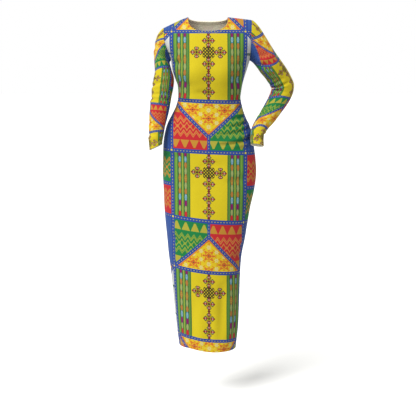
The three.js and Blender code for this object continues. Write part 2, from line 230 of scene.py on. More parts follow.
printMap = {
    "centreTop": 1,
    "centreHem": 5.5,
    # how steeply the rows slant, and how much more they rise on the left and how softly that sets in
    "tilt": {0: 0, -60: 0, -315: 0.035, -500: 0.045, -770: 0.07, -970: 0.085, -1240: 0.075, -1290: 0.075},
    "rise": {0: 0, -640: 0, -770: 0.06, -970: 0.08, -1240: 0.09, -1290: 0.09},
    "riseSoft": 26,
    "row": {30: -78, 0: -48, -48: 0, -61: 15, -308: 265, -323: 280, -498: 460, -514: 475, -763: 725,
            -780: 740, -964: 920, -978: 935, -1236: 1185, -1248: 1200, -1310: 1263},
    # the print hangs straight down where the body curves away: how far it can give, and its scale
    "give": {0: 1, -120: 14, -250: 34, -330: 34, -430: 24, -560: 14, -700: 9, -900: 11, -1000: 13,
             -1120: 10, -1290: 4},
    "scale": {0: 1.04, -60: 1.054, -330: 1.054, -430: 1.04, -560: 1.06, -720: 1.065, -900: 1.078,
              -1000: 1.093, -1290: 1.112},
    "steps": 32,
}


def atHeight(table, z):
    # Straight lines between the rows of a table that goes down.
    return np.interp(-z, -np.array(list(table), float), list(table.values()))


def lengthAcross(name, x, z, centre, half):
    # Length of the level section from its middle to x, as a sum of straight steps.
    panel = panels[name]
    across = np.clip(np.abs(x - centre) / half, 0, 1)
    steps = np.linspace(0, 1, printMap["steps"] + 1).reshape(-1, *[1] * x.ndim)
    swept = np.sin(steps * np.arcsin(across ** (fullness / 2))) ** (2 / fullness)
    lineX = centre + np.sign(x - centre) * swept * half
    lineZ = z + 0 * swept
    out = section(name, z) * np.clip(1 - swept**fullness, 0, 1) ** (1 / fullness)
    lowY = panel["sign"] * (out + bustOut(panel, lineX, lineZ, swept))
    lineY = np.where(z < underarm["z"], lowY, upperDepth(name, lineX, lineZ))
    return np.hypot(np.diff(lineX, axis=0), np.diff(lineY, axis=0)).sum(0)


def bodyPrint(name, points):
    # Across: length of the level section from its middle, less what it gives: a hyperbolic tangent of
    # how much longer it is than the straight way. Along: height with the slant, read off the rows.
    x, z = points[..., 0], points[..., 2]
    low = z < underarm["z"]
    formCentre, reach = chestForm((z - underarm["z"]) / -underarm["z"])
    centre = np.where(low, section("centre", z), formCentre)
    length = lengthAcross(name, x, z, centre, np.where(low, section("half", z), reach))
    give = atHeight(printMap["give"], z)
    length -= give * np.tanh((length - np.abs(x - centre)) / give)
    length *= atHeight(printMap["scale"], z)
    shift = centre - mix(printMap["centreTop"], printMap["centreHem"], np.clip(z / hem["z"], 0, 1))
    soft = printMap["riseSoft"]
    ramp = soft * np.logaddexp(0, (centre - x) / soft)
    level = z + atHeight(printMap["tilt"], z) * (x - centre) - atHeight(printMap["rise"], z) * ramp
    return np.sign(x - centre) * length + shift, atHeight(printMap["row"], level)


# creases: soft troughs with a ridge beside each

creaseForm = {
    "depth": 1.9, "fade": 0.75, "ridge": 0.62, "ridgeAside": 1.9, "ridgeWidth": 1.25,
    "widens": (0.75, 1.25), "narrows": (1.2, 0.8),
}
# across and height on the cloth where each one starts and where it ends, how far its middle strays
# sideways, its width and its depth
frontCreases = [
    # drag lines from the bent arm's hip
    (62, -386, 168, -366, -4, 5.6, 2.3), (70, -412, 182, -388, -5, 6.2, 2.9),
    (36, -440, 196, -406, -8, 5.8, 2.6), (30, -478, 215, -436, -12, 7, 3.8),
    (96, -494, 222, -474, -6, 6.6, 1.7),
    # waist
    (-128, -318, -52, -326, 3, 8, 2.2), (-142, -344, -78, -338, 3, 8, 1.5),
    (150, -300, 92, -322, -4, 9, 1.8), (146, -336, 104, -346, -3, 8, 1.6),
    (-60, -284, 24, -292, 4, 11, 1.1),
    # under the bust and from the underarms
    (-132, -232, -78, -262, 6, 12, 1.8), (138, -226, 92, -262, -6, 12, 2),
    (-150, -176, -104, -158, -4, 9, 2.2), (158, -178, 112, -166, 4, 9, 2),
    (150, -196, 118, -204, 3, 8, 1.4),
    # across the lap and down the skirt
    (-196, -520, -96, -540, 7, 13, 1.6), (-40, -566, 66, -560, 8, 16, 1.3),
    (60, -620, 168, -598, -9, 15, 1.6), (-186, -842, -102, -862, 8, 14, 1.5),
    (104, -880, 176, -862, -7, 12, 2.4), (92, -912, 170, -900, -6, 13, 1.9),
    (54, -1010, 40, -1262, 9, 21, 3.6), (-72, -1080, -58, -1268, -7, 19, 2),
    (112, -1096, 100, -1270, 6, 17, 2.2), (2, -1130, -6, -1274, 4, 17, 1.3),
]
backCreases = [
    (-104, -296, 28, -304, 6, 11, 2.6), (-36, -322, 112, -316, 7, 10, 3),
    (-118, -338, -12, -348, 5, 9, 2), (20, -352, 126, -342, 5, 9, 1.8),
    (-76, -262, 64, -268, 8, 13, 1.6), (-154, -172, -96, -132, -7, 12, 2.4),
    (160, -172, 104, -128, 7, 12, 2.6), (-150, -196, -110, -184, -4, 9, 1.7),
    (90, -392, 206, -372, -6, 9, 2.2), (104, -436, 226, -412, -8, 10, 2.6),
    (-210, -560, -84, -604, 10, 13, 2), (214, -572, 74, -610, -10, 14, 2.3),
    (-132, -668, -22, -676, 9, 15, 1.8), (16, -690, 138, -672, 9, 14, 1.7),
    (-160, -838, -52, -852, 7, 12, 2.2), (34, -868, 150, -848, 7, 12, 2),
    (-104, -884, 12, -892, 6, 11, 1.5), (-46, -1020, -38, -1266, 8, 20, 3),
    (62, -1060, 52, -1270, -8, 19, 2.4), (126, -1110, 112, -1272, 5, 15, 1.6),
    (-118, -1096, -104, -1270, -6, 16, 1.8),
]
# here across is the distance round the sleeve from the print's middle, and height counts along it
leftSleeveCreases = [
    (-36, -92, 64, -66, -8, 8, 1.8), (16, -52, 84, -24, -6, 8, 2),
    (30, 6, 92, 24, 5, 8, 1.5), (-24, 50, 60, 30, -5, 5.6, 1.6),
    (-30, 74, 76, 52, -6, 5.8, 2.3), (-12, 96, 96, 80, 5, 5.4, 2.1),
    (-48, 98, 28, 114, 5, 6, 1.6), (46, 112, 108, 100, 4, 5.2, 1.7),
    (-116, 60, -52, 78, 6, 8, 1.8), (112, 66, 150, 84, 3, 7, 2),
    (10, 150, 80, 136, -5, 8, 1.3), (-30, 196, 48, 206, 5, 8, 1.3),
    (-40, 256, 36, 248, -4, 6, 1.6), (-10, 272, 70, 268, 3, 5.5, 1.4),
]
rightSleeveCreases = [
    (-96, -88, -8, -60, 9, 9, 1.8), (-104, -52, -36, -28, 7, 9, 2),
    (-110, 22, -48, 40, 5, 8, 1.8), (-126, 72, -22, 58, -7, 6, 2.1),
    (-132, 96, -8, 86, -6, 6.2, 2.7), (-128, 116, -18, 122, 6, 5.8, 2.3),
    (-120, 138, -38, 156, 7, 6.4, 1.8), (100, 74, 26, 66, 6, 8, 2.2),
    (104, 104, 18, 108, -5, 7, 2.8), (98, 136, 34, 146, -6, 8, 2),
    (-92, 196, -20, 214, 6, 9, 1.6), (-88, 244, -26, 256, 5, 8, 1.5),
    (-96, 296, -28, 306, 5, 6.5, 2.2), (-90, 318, -4, 322, -4, 6, 3.2),
    (-84, 342, -20, 334, 4, 5.5, 1.8), (60, 316, 8, 324, 3, 6, 2),
]


def creaseOut(creases, across, along):
    # Sum over the creases: a Gaussian trough about a bowed line, with a lower ridge on one side of
    # it, both fading out towards the line's ends. Every other one widens on its way, the rest narrow.
    form = creaseForm
    out = np.zeros_like(across)
    for n, (fromAcross, fromAlong, toAcross, toAlong, bow, width, depth) in enumerate(creases):
        way = np.array([toAcross - fromAcross, toAlong - fromAlong], float)
        length = np.hypot(*way)
        way /= length
        x, y = across - fromAcross, along - fromAlong
        t = (x * way[0] + y * way[1]) / length
        arch = np.clip(4 * t * (1 - t), -1, 1)
        aside = y * way[0] - x * way[1] - bow * arch
        size = width * mix(*form["widens" if n % 2 else "narrows"], t.clip(0, 1))
        trough = np.exp(-((aside / size) ** 2))
        ridge = np.exp(-(((aside / size - form["ridgeAside"]) / form["ridgeWidth"]) ** 2))
        fade = arch.clip(0, 1) ** form["fade"]
        out += form["depth"] * depth * fade * (form["ridge"] * ridge - trough)
    return out


# seams and edges: extra rows close to an edge, where the cloth rolls in

edgeSteps = np.array([0, 0.08, 0.25, 0.5, 0.8, 1.3, 2.1, 3.0])
edgeRoom = 0.9  # how much of the first two rows' distance they may take up
seamRoll = {"depth": 0.55, "width": 2.2, "pucker": 0.35, "puckerPitch": 11, "flatten": 13}
farOff = 99  # beyond the reach of a seam's groove


def addEdges(grid, drawn):
    # Between the first two rows at each of the four edges, more rows at set distances from the edge,
    # or all nearer in proportion where the two rows are close. Drawn is how far the cloth stops
    # short of the seam there, for each edge in turn.
    for back in drawn:
        span = np.linalg.norm(grid[1, :, :3] - grid[0, :, :3], axis=-1)
        room = np.minimum(1, (edgeRoom * span - back) / edgeSteps[-1])
        shares = (edgeSteps[:, None] * room + back) / span
        rows = grid[0] + (grid[1] - grid[0]) * shares[..., None]
        grid = np.rot90(np.concatenate([rows, grid[1:]]))
    return grid


def lengthsFrom(points, axis, flip):
    # Distance along the grid lines from one edge.
    if flip:
        points = np.flip(points, axis)
    steps = np.linalg.norm(np.diff(points, axis=axis), axis=-1)
    first = np.zeros_like(np.take(steps, [0], axis))
    run = np.concatenate([first, np.cumsum(steps, axis)], axis)
    return np.flip(run, axis) if flip else run


def gridNormals(points, middle):
    # Cross product of the differences along the two grid directions, turned away from the middle.
    normals = np.cross(np.gradient(points, axis=1), np.gradient(points, axis=0))
    normals /= np.maximum(np.linalg.norm(normals, axis=-1, keepdims=True), tiny)
    return normals * np.sign(((points - middle) * normals).sum(-1).mean())


def meshFrom(name, corners, faces, materials, chosen=None, maps=None):
    # Corners in millimetres and faces with the same number of corners each, as one smooth mesh.
    mesh = bpy.data.meshes.new(name)
    mesh.vertices.add(len(corners))
    mesh.vertices.foreach_set("co", (corners * mm).ravel())
    mesh.loops.add(faces.size)
    mesh.loops.foreach_set("vertex_index", faces.ravel())
    mesh.polygons.add(len(faces))
    mesh.polygons.foreach_set("loop_start", np.arange(0, faces.size, faces.shape[1]))
    mesh.polygons.foreach_set("use_smooth", np.ones(len(faces), bool))
    for material in materials:
        mesh.materials.append(material)
    if chosen is not None:
        mesh.polygons.foreach_set("material_index", chosen.astype(np.int32))
    mesh.update(calc_edges=True)
    for title, places in (maps or {}).items():
        layer = mesh.uv_layers.new(name=title)
        layer.uv.foreach_set("vector", (places[faces.ravel()] * mm).ravel())
    thing = bpy.data.objects.new(name, mesh)
    bpy.context.scene.collection.objects.link(thing)
    return thing


def clothWall(name, points, normals, out, thick, maps):
    # Outer and inner faces on one grid. Both roll in at the edges as quarter rounds, and meet there in
    # the middle of the wall, which is thicker where thick is 1.
    wall = mix(cloth["wall"], cloth["turnedWall"], thick)
    rows, columns = points.shape[:2]
    near = np.full((rows, columns), edgeSteps[-1])
    for _ in range(4):
        near[: len(edgeSteps)] = np.minimum(near[: len(edgeSteps)], edgeSteps[:, None])
        near = np.rot90(near)
    radius = wall / 2
    roll = radius * (1 - np.sqrt(1 - np.clip(1 - near / radius, 0, 1) ** 2))
    outer = points + normals * (out - roll)[..., None]
    inner = points + normals * (out - wall + roll)[..., None]
    count = rows * columns
    index = np.arange(count).reshape(rows, columns)
    back = index + count
    back[0], back[-1], back[:, 0], back[:, -1] = index[0], index[-1], index[:, 0], index[:, -1]
    corners = np.concatenate([outer.reshape(-1, 3), inner.reshape(-1, 3)])

    def quads(at):
        return np.stack([at[:-1, :-1], at[:-1, 1:], at[1:, 1:], at[1:, :-1]], -1).reshape(-1, 4)

    faces, under = quads(index), quads(back)[:, ::-1]
    one = faces[len(faces) // 2]
    turned = np.cross(corners[one[1]] - corners[one[0]], corners[one[3]] - corners[one[0]])
    if turned @ normals.reshape(-1, 3)[one[0]] < 0:
        faces, under = faces[:, ::-1], under[:, ::-1]
    chosen = np.r_[np.zeros(len(faces)), np.ones(len(under))]
    faces = np.concatenate([faces, under])
    used, faces = np.unique(faces, return_inverse=True)
    faces = faces.reshape(-1, 4)
    layers = {
        title: np.tile(np.stack(pair, -1).reshape(-1, 2), (2, 1))[used] for title, pair in maps.items()
    }
    thing = meshFrom(name, corners[used], faces, [printedSide, wrongSide], chosen, layers)
    return thing, outer


def clearOf(distance):
    # 0 at a seam and 1 well away from it, where creases reach their depth.
    return 1 - np.exp(-((distance / seamRoll["flatten"]) ** 2))


def seamOut(distance, run):
    # A shallow groove beside a seam, a Gaussian of the distance, deeper and shallower along the seam.
    wave = 1 + seamRoll["pucker"] * np.sin(2 * np.pi * run / seamRoll["puckerPitch"])
    return -seamRoll["depth"] * wave * np.exp(-((distance / seamRoll["width"]) ** 2))


# edges turned in and sewn down, with twin rows of stitches

# how far in the first row of stitches lies, and how deep and wide a dent it makes
turnedEdge = {"hem": 14.5, "neck": 7.5, "cuff": 11, "dent": 0.3}
dentWidths = {"hem": 2.2, "neck": 2.2, "cuff": 2}
stitch = {
    "pitch": 3.4, "length": 2.5, "thick": 0.42, "rows": [0, 3.6], "first": 1, "flatness": 0.7,
    # along each stitch, as shares of its length and of its thickness
    "places": [0, 0.18, 0.5, 0.82, 1], "widths": [0, 0.8, 1, 0.8, 0], "lifts": [-0.9, 0.15, 0.4, 0.15, -0.9],
}


def lineOnGrid(outer, normals, distance, reach):
    # On each column, the point and the normal at a set distance from the grid's first row.
    columns = np.arange(distance.shape[1])
    rows = np.array([np.interp(reach, distance[:, j], np.arange(len(distance))) for j in columns])
    low = np.floor(rows).astype(int)
    share = (rows - low)[:, None]
    return [mix(layer[low, columns], layer[low + 1, columns], share) for layer in (outer, normals)]


def stitchRow(points, normals):
    # Stitches along a polyline: each a small spindle of three square rings and two ends.
    run = np.r_[0, np.cumsum(np.linalg.norm(np.diff(points, axis=0), axis=1))]
    starts = np.arange(stitch["first"], run[-1] - stitch["pitch"], stitch["pitch"])
    places = starts[:, None] + stitch["length"] * np.array(stitch["places"])
    at = np.stack([np.interp(places, run, points[:, k]) for k in range(3)], -1)
    up = np.stack([np.interp(places[:, 2], run, normals[:, k]) for k in range(3)], -1)[:, None]
    aside = unit(np.cross(at[:, -1:] - at[:, :1], up))
    width, lift = [stitch["thick"] * np.array(stitch[key])[:, None] for key in ("widths", "lifts")]
    flat = stitch["flatness"]
    rings = [
        at[:, 1:4] + (up * lift + sign * side * width)[:, 1:4]
        for side, sign in ((aside, 1), (up, flat), (aside, -1), (up, -flat))
    ]
    ends = (at + up * lift)[:, [0, 4]]
    corners = np.concatenate([np.stack(rings, 2).reshape(len(starts), 12, 3), ends], 1)
    # corners 0 to 11 are the rings, four each, and 12 and 13 the ends
    sides = []
    for k in range(4):
        n = (k + 1) % 4
        sides += [[12, k, n], [k, 4 + k, 4 + n], [k, 4 + n, n]]
        sides += [[4 + k, 8 + k, 8 + n], [4 + k, 8 + n, 4 + n], [8 + k, 13, 8 + n]]
    faces = np.array(sides) + corners.shape[1] * np.arange(len(starts))[:, None, None]
    return corners.reshape(-1, 3), faces.reshape(-1, 3)


def stitchedDent(distance, edge):
    # A shallow Gaussian groove under the first row of stitches.
    return turnedEdge["dent"] * np.exp(-(((distance - turnedEdge[edge]) / dentWidths[edge]) ** 2))


def turnedIn(distance, turn):
    # 1 on the turning and 0 beyond it.
    return ease((turn - distance) / cloth["turnFade"])


def stitchLines(edge, outer, normals, distance):
    # The twin rows, each a line on the grid at its own distance from the edge.
    return [lineOnGrid(outer, normals, distance, turnedEdge[edge] + step) for step in stitch["rows"]]


def makeStitches(name, lines):
    # The stitches of all the rows, joined in one mesh.
    corners, faces, count = [], [], 0
    for points, normals in lines:
        some, sides = stitchRow(points, normals)
        corners.append(some)
        faces.append(sides + count)
        count += len(some)
    return meshFrom(name, np.concatenate(corners), np.concatenate(faces), [thread])


# the print: arithmetic on two fields, the distance across and the row, painted layer over layer

ink = {
    "blue": (40, 74, 163), "deepBlue": (33, 60, 138), "sideBlue": (52, 92, 168), "dash": (206, 194, 74),
    "spark": (244, 222, 30), "yellow": (229, 207, 18), "leaf": (96, 152, 54), "deepLeaf": (52, 104, 52),
    "paleLeaf": (128, 172, 62), "olive": (176, 182, 58), "purple": (138, 8, 102), "sky": (88, 152, 178),
    "rust": (188, 124, 52), "straw": (164, 172, 104), "red": (206, 36, 44), "green": (14, 132, 66),
    "brass": (220, 138, 62), "moss": (154, 174, 54), "ochre": (206, 146, 46), "limeOchre": (186, 178, 58),
    "amber": (224, 124, 34), "cream": (232, 222, 158), "sun": (238, 206, 22), "bark": (70, 58, 22),
    "blush": (232, 150, 124), "crimson": (158, 24, 44), "ash": (186, 184, 140), "white": (228, 230, 226),
    "grey": (168, 176, 172), "pine": (12, 84, 48), "yarn": (228, 224, 210), "thread": (196, 176, 84),
    "threadDark": (142, 124, 48),
}


def linear(colour):
    # Each channel from the screen's curve to light.
    share = np.array(colour) / 255
    light = np.where(share <= 0.04045, share / 12.92, ((share + 0.055) / 1.055) ** 2.4)
    return (*[float(value) for value in light], 1)


def feed(tree, value, socket):
    # A field or an output is linked to the socket, and anything else is its value.
    value = value.socket if isinstance(value, Field) else value
    if isinstance(value, bpy.types.NodeSocket):
        tree.links.new(value, socket)
    else:
        socket.default_value = value


def mixColours(tree, share, one, other, blend="MIX"):
    # One where the share is 0 and the other where it is 1.
    node = tree.nodes.new("ShaderNodeMix")
    node.data_type, node.blend_type = "RGBA", blend
    for place, value in ((0, share), (6, one), (7, other)):
        feed(tree, value, node.inputs[place])
    return node.outputs[2]


class Field:
    # A number that varies over the cloth. Arithmetic on it adds Math nodes to the tree.
    def __init__(self, tree, socket):
        self.tree, self.socket = tree, socket

    def does(self, operation, *others):
        node = self.tree.nodes.new("ShaderNodeMath")
        node.operation = operation
        for socket, value in zip(node.inputs, (self, *others)):
            feed(self.tree, value, socket)
        return Field(self.tree, node.outputs[0])

    def __add__(self, other):
        return self.does("ADD", other)

    def __sub__(self, other):
        return self.does("SUBTRACT", other)

    def __rsub__(self, other):
        return self.does("MULTIPLY_ADD", -1, other)

    def __mul__(self, other):
        return self.does("MULTIPLY", other)

    def __abs__(self):
        return self.does("ABSOLUTE")

    __radd__, __rmul__ = __add__, __mul__

    def over(self, other):
        return self.does("GREATER_THAN", other)

    def under(self, other):
        return self.does("LESS_THAN", other)

    def near(self, middle, half):
        return self.does("COMPARE", middle, half)

    def every(self, period):
        return self.does("FLOORED_MODULO", period)

    def fold(self, period):
        # 0 at whole periods and half a period midway.
        return self.does("PINGPONG", period / 2)

    def most(self, other):
        return self.does("MAXIMUM", other)

    def least(self, other):
        return self.does("MINIMUM", other)


class Painting:
    # A colour that layers are painted over, each where its mask is 1.
    def __init__(self, tree, name):
        self.tree, self.colour = tree, linear(ink[name])

    def paint(self, colour, mask):
        if isinstance(colour, Painting):
            colour = colour.colour
        elif isinstance(colour, str):
            colour = linear(ink[colour])
        self.colour = mixColours(self.tree, mask, self.colour, colour)
        return self


def chart(field, scale, stops, smooth=False):
    # A listed table, read along a field: names of inks, or numbers, from each place on.
    node = field.tree.nodes.new("ShaderNodeValToRGB")
    ramp = node.color_ramp
    ramp.interpolation = "LINEAR" if smooth else "CONSTANT"
    for n, (place, value) in enumerate(stops):
        element = ramp.elements[n] if n < 2 else ramp.elements.new(place / scale)
        element.position = place / scale
    for element, (place, value) in zip(ramp.elements, stops):
        element.color = linear(ink[value]) if isinstance(value, str) else (value, value, value, 1)
    field.tree.links.new((field * (1 / scale)).socket, node.inputs[0])
    return node.outputs[0]


printSizes = {
    "cell": 460, "fieldTop": 15, "field": 250, "band": 15, "motif": 180, "panel": 140.5, "stripes": 150,
    "edgeBand": 148, "edgeHalf": 7.5, "cornerHalf": 6, "cornerSpark": 3.4,
    "dashPitch": 12.4, "dash": 2.5, "dashHalf": 1.2,
}


def dashes(along, aside):
    # A broken line: pieces along it at even steps, no wider than a dash.
    size = printSizes
    return along.fold(size["dashPitch"]).under(size["dash"]) * abs(aside).under(size["dashHalf"])


# rows of the field where crosses and their links lie: where each stretch starts, and its middle
crossRows = [(0, 27.5), (49, 70.8), (92.4, 114), (142.3, 170.6), (196, 221.4)]
linkRows = [(0, 2), (27.5, 49), (70.8, 92.4), (114, 142.3), (170.6, 196), (221.4, 247)]
# strokes and diamonds of one cross, measured from its middle, and of the knot's lattice
cross = {
    "stroke": 1.2, "barEnd": 26, "saltire": 1.6, "saltireEnd": 11, "stemPitch": 3.2, "stemGap": 0.35,
    "link": 7, "linkHeart": 3.6, "lobeAt": 15.5, "lobe": 11.2, "ash": 7.4, "ashFrom": 3,
    "crimson": 9.6, "crimsonTo": 2.8, "blush": 3, "knotHalf": 23.4, "aside": 46.8,
    "lattice": 12.4, "latticeLine": 3, "latticeHalf": 25, "latticeCorner": 39,
}


def rowMiddle(y, rows):
    # The middle of the stretch that y lies in.
    whole = printSizes["field"]
    return Field(y.tree, chart(y, whole, [(place, middle / whole) for place, middle in rows])) * whole


def paintCrosses(picture, away, y):
    # Four diamonds in a cross, at the places of the chart; a lattice knot where four crosses meet.
    size = cross
    rows = rowMiddle(y, crossRows)
    knotRow = rows.near(crossRows[1][1], 1)
    up = abs(y - rows)
    x = abs(away - knotRow * away.over(size["knotHalf"]) * size["aside"])
    far, close = x.most(up), x.least(up)
    isKnot = knotRow * away.under(size["knotHalf"])
    isCross = 1 - isKnot
    link = away + abs(y - rowMiddle(y, linkRows))
    picture.paint("bark", away.under(size["stroke"]) * y.fold(size["stemPitch"]).over(size["stemGap"]))
    picture.paint("bark", link.under(size["link"])).paint("crimson", link.under(size["linkHeart"]))
    lobe = close + abs(far - size["lobeAt"])
    bars = close.under(size["stroke"]) * far.under(size["barEnd"])
    saltire = (far - close).under(size["saltire"]) * far.under(size["saltireEnd"])
    picture.paint("bark", bars.most(saltire).most(lobe.under(size["lobe"])) * isCross)
    picture.paint("ash", lobe.under(size["ash"]) * close.over(size["ashFrom"]) * isCross)
    picture.paint("crimson", lobe.under(size["crimson"]) * close.under(size["crimsonTo"]) * isCross)
    picture.paint("blush", lobe.under(size["blush"]) * isCross)
    one, other = (x + up).fold(size["lattice"]), (x - up).fold(size["lattice"])
    lattice = one.under(size["latticeLine"]).most(other.under(size["latticeLine"]))
    inside = far.under(size["latticeHalf"]) * (x + up).under(size["latticeCorner"])
    return picture.paint("bark", lattice * inside * isKnot)


# stripes by distance from the middle; inks and widths of a string of beads by row
fieldStripes = [
    (0, "yellow"), (75, "deepLeaf"), (78, "leaf"), (81, "deepLeaf"), (83, "paleLeaf"), (85.5, "deepLeaf"),
    (101, "leaf"), (104, "olive"), (107, "leaf"), (110, "deepLeaf"), (125.5, "leaf"), (129, "paleLeaf"),
    (134, "leaf"), (138, "deepLeaf"),
]
beadInks = [
    (0, "purple"), (13, "sky"), (36, "rust"), (58, "straw"), (82, "rust"), (114, "straw"), (138, "rust"),
    (160, "sky"), (185, "purple"), (208, "straw"), (229, "red"),
]
beadWidths = [
    (0, 0.6), (6, 1), (12, 0.6), (24, 1), (36, 0.55), (47, 1), (58, 0.55), (70, 0.9), (82, 0.55),
    (98, 1), (114, 0.55), (126, 0.9), (138, 0.55), (149, 1), (160, 0.55), (172, 1), (185, 0.6),
    (196, 1), (208, 0.6), (218, 0.9), (229, 0.6), (240, 1), (249, 0.7),
]
beads = {
    "middle": 105.5, "apart": 12, "half": 5.6,
    # fine cross lines on some beads: rows and half lengths, pitch, line and half width
    "whiteRows": [(24, 9), (172, 10)], "whitePitch": 5, "white": 0.6, "whiteHalf": 3.2,
    "oliveRows": (98, 12), "olivePitch": 7, "olive": 1.2, "oliveHalf": 2.6,
}


def paintField(picture, away, y):
    # Yellow with the crosses, and green on both sides with two strings of beads.
    picture.paint(chart(away, printSizes["stripes"], fieldStripes), away.under(printSizes["stripes"]))
    aside = abs(abs(away - beads["middle"]) - beads["apart"])
    widths = Field(y.tree, chart(y, printSizes["field"], beadWidths, True))
    inks = chart(y, printSizes["field"], beadInks)
    picture.paint(inks, (aside - widths * beads["half"]).under(0))
    one, other = [y.near(*rows) for rows in beads["whiteRows"]]
    lines = y.fold(beads["whitePitch"]).under(beads["white"]) * aside.under(beads["whiteHalf"])
    picture.paint("white", one.most(other) * lines)
    lines = y.fold(beads["olivePitch"]).under(beads["olive"]) * aside.under(beads["oliveHalf"])
    picture.paint("olive", y.near(*beads["oliveRows"]) * lines)
    return paintCrosses(picture, away, y)


# pairs are a ring's radius and half width, or a blossom's radius and petals
star = {
    "across": 64, "down": 32, "anchor": 58, "core": 16, "ray": 10, "rays": 4,
    "inner": (11.5, 1.3), "outer": (17.5, 1.1), "outerFrom": 0.1, "red": (8, 2.6), "redFrom": 0.72,
    "bar": 1, "barEnd": 24, "eye": 2.6, "halo": (29.5, 1.5), "haloFrom": 0.55,
    "small": (8.6, 6), "large": (9.4, 8), "wave": 0.24, "round": 0.78,
    "edge": 2, "ring": (-4.4, 0.8), "heart": -7,
}


def blossom(x, y, radius, petals):
    # The outline's radius goes in and out with the cosine of the angle times the number of petals.
    angle = y.does("ARCTAN2", x)
    wave = (angle * petals).does("COSINE") * (star["wave"] * radius) + star["round"] * radius
    return (x * x + y * y).does("SQRT") - wave


def starGround(tree, u, p):
    # Cream blossoms in rings round orange stars, on a centred lattice.
    ground = Painting(tree, "sun")
    wide, tall = star["across"], star["down"]
    column = (u * (1 / wide)).does("ROUND")
    x = u - column * wide
    y = (p - star["anchor"] + column * tall + tall).every(2 * tall) - tall
    betweenX = u.every(wide) - wide / 2
    betweenY = (p - star["anchor"]).every(tall) - tall / 2
    radius = (x * x + y * y).does("SQRT")
    rays = (y.does("ARCTAN2", x) * star["rays"]).does("COSINE")
    ground.paint("amber", (radius - rays * rays * star["ray"] - star["core"]).under(0))
    outer = radius.near(*star["outer"]) * rays.over(star["outerFrom"])
    ground.paint("sun", radius.near(*star["inner"]).most(outer))
    bar = abs(y).under(star["bar"]) * radius.under(star["barEnd"])
    ground.paint("red", (rays.over(star["redFrom"]) * radius.near(*star["red"])).most(bar))
    ground.paint("pine", radius.under(star["eye"]))
    ground.paint("amber", radius.near(*star["halo"]) * abs(rays).over(star["haloFrom"]))
    both = blossom(betweenX, betweenY, *star["small"]).least(blossom(x, tall - abs(y), *star["large"]))
    ground.paint("sun", both.under(star["edge"])).paint("cream", both.under(0))
    return ground.paint("sun", both.near(*star["ring"])).paint("amber", both.under(star["heart"]))


zigzag = {
    "pitch": 25, "shift": 14, "steepness": 1.4, "outline": (40, 2.2), "linePitch": 17.5, "lineFrom": 3,
    "line": 3, "lineEnd": 35, "diamond": 5.4, "diamondRow": 1, "smallDiamond": 3.2, "smallRow": 15,
}


def zigzags(away, fromMiddle):
    # A zigzag outline whose points lie away from the middle row, and inside it finer zigzags, which
    # cross each other's points at the middle, and rows of small diamonds.
    size = zigzag
    aside = (away + size["shift"]).fold(size["pitch"])
    rise = fromMiddle + aside * size["steepness"]
    outline = rise.near(*size["outline"])
    lines = (rise + size["lineFrom"]).fold(size["linePitch"]).under(size["line"])
    between = aside * -1 + size["pitch"] / 2
    diamonds = (between + abs(fromMiddle - size["diamondRow"])).under(size["diamond"])
    small = (aside + abs(fromMiddle - size["smallRow"])).under(size["smallDiamond"])
    return outline.most(lines * rise.under(size["lineEnd"])).most(diamonds.most(small))


# the sloping border, and the teeth, which count from the motif's middle row
motif = {
    "slope": 0.93, "apex": 130, "diagonalHalf": 6.5, "stemHalf": 5.8, "lining": (-9, 2), "middle": 92,
    "toothPitch": 37.7, "toothShift": 18.7, "toothBase": 52, "toothTall": 31, "toothHalf": 17.6,
    "toothTaper": 14.6, "toothShown": (0.49, 0.49), "dashStretch": 1.31, "stemDashFrom": 4,
}


def paintMotif(picture, u, away, p, warm, here):
    # A triangle of star ground over a sloping border, and below it red or green with zigzags and teeth.
    size = motif
    slope = (p - size["apex"] + away * size["slope"]) * (1 / math.hypot(1, size["slope"]))
    ground = starGround(picture.tree, u, p).paint("amber", slope.near(*size["lining"]))
    lower = Painting(picture.tree, "green").paint("red", warm)
    trim = Painting(picture.tree, "limeOchre").paint("ochre", warm)
    lines = Painting(picture.tree, "moss").paint("brass", warm)
    fromMiddle = abs(p - size["middle"])
    tooth = (away + size["toothShift"]).fold(size["toothPitch"])
    height = (fromMiddle - size["toothBase"]) * (1 / size["toothTall"])
    teeth = (size["toothHalf"] - height * size["toothTaper"] - tooth).over(0)
    lower.paint(lines, zigzags(away, fromMiddle)).paint(trim, teeth * height.near(*size["toothShown"]))
    picture.paint(ground.paint(lower, slope.over(0)), here)
    stem = away.under(size["stemHalf"]) * p.over(size["apex"])
    picture.paint("blue", abs(slope).under(size["diagonalHalf"]).most(stem) * here)
    bright = dashes(away * size["dashStretch"], slope) * (1 - stem)
    bright = bright.most(dashes(p, away) * p.over(size["apex"] + size["stemDashFrom"]))
    return picture.paint("dash", bright * here)


# bars are a height and a half width; steepness and level are those of the sloping border
sides = {
    "pleat": 13, "pleatLine": 1.6, "rib": 6.5, "ribLine": 1.5,
    "bars": [(77, 2.6), (186, 2.6), (82.5, 0.9)], "steepness": 1.05, "level": 0.69,
    "stripe": 17, "stripeLine": 3.4, "lining": (-14, 2.2), "border": 6.5, "dashStretch": 1.4,
    "middle": 125, "blockMiddle": 62, "band": 7.5,
}


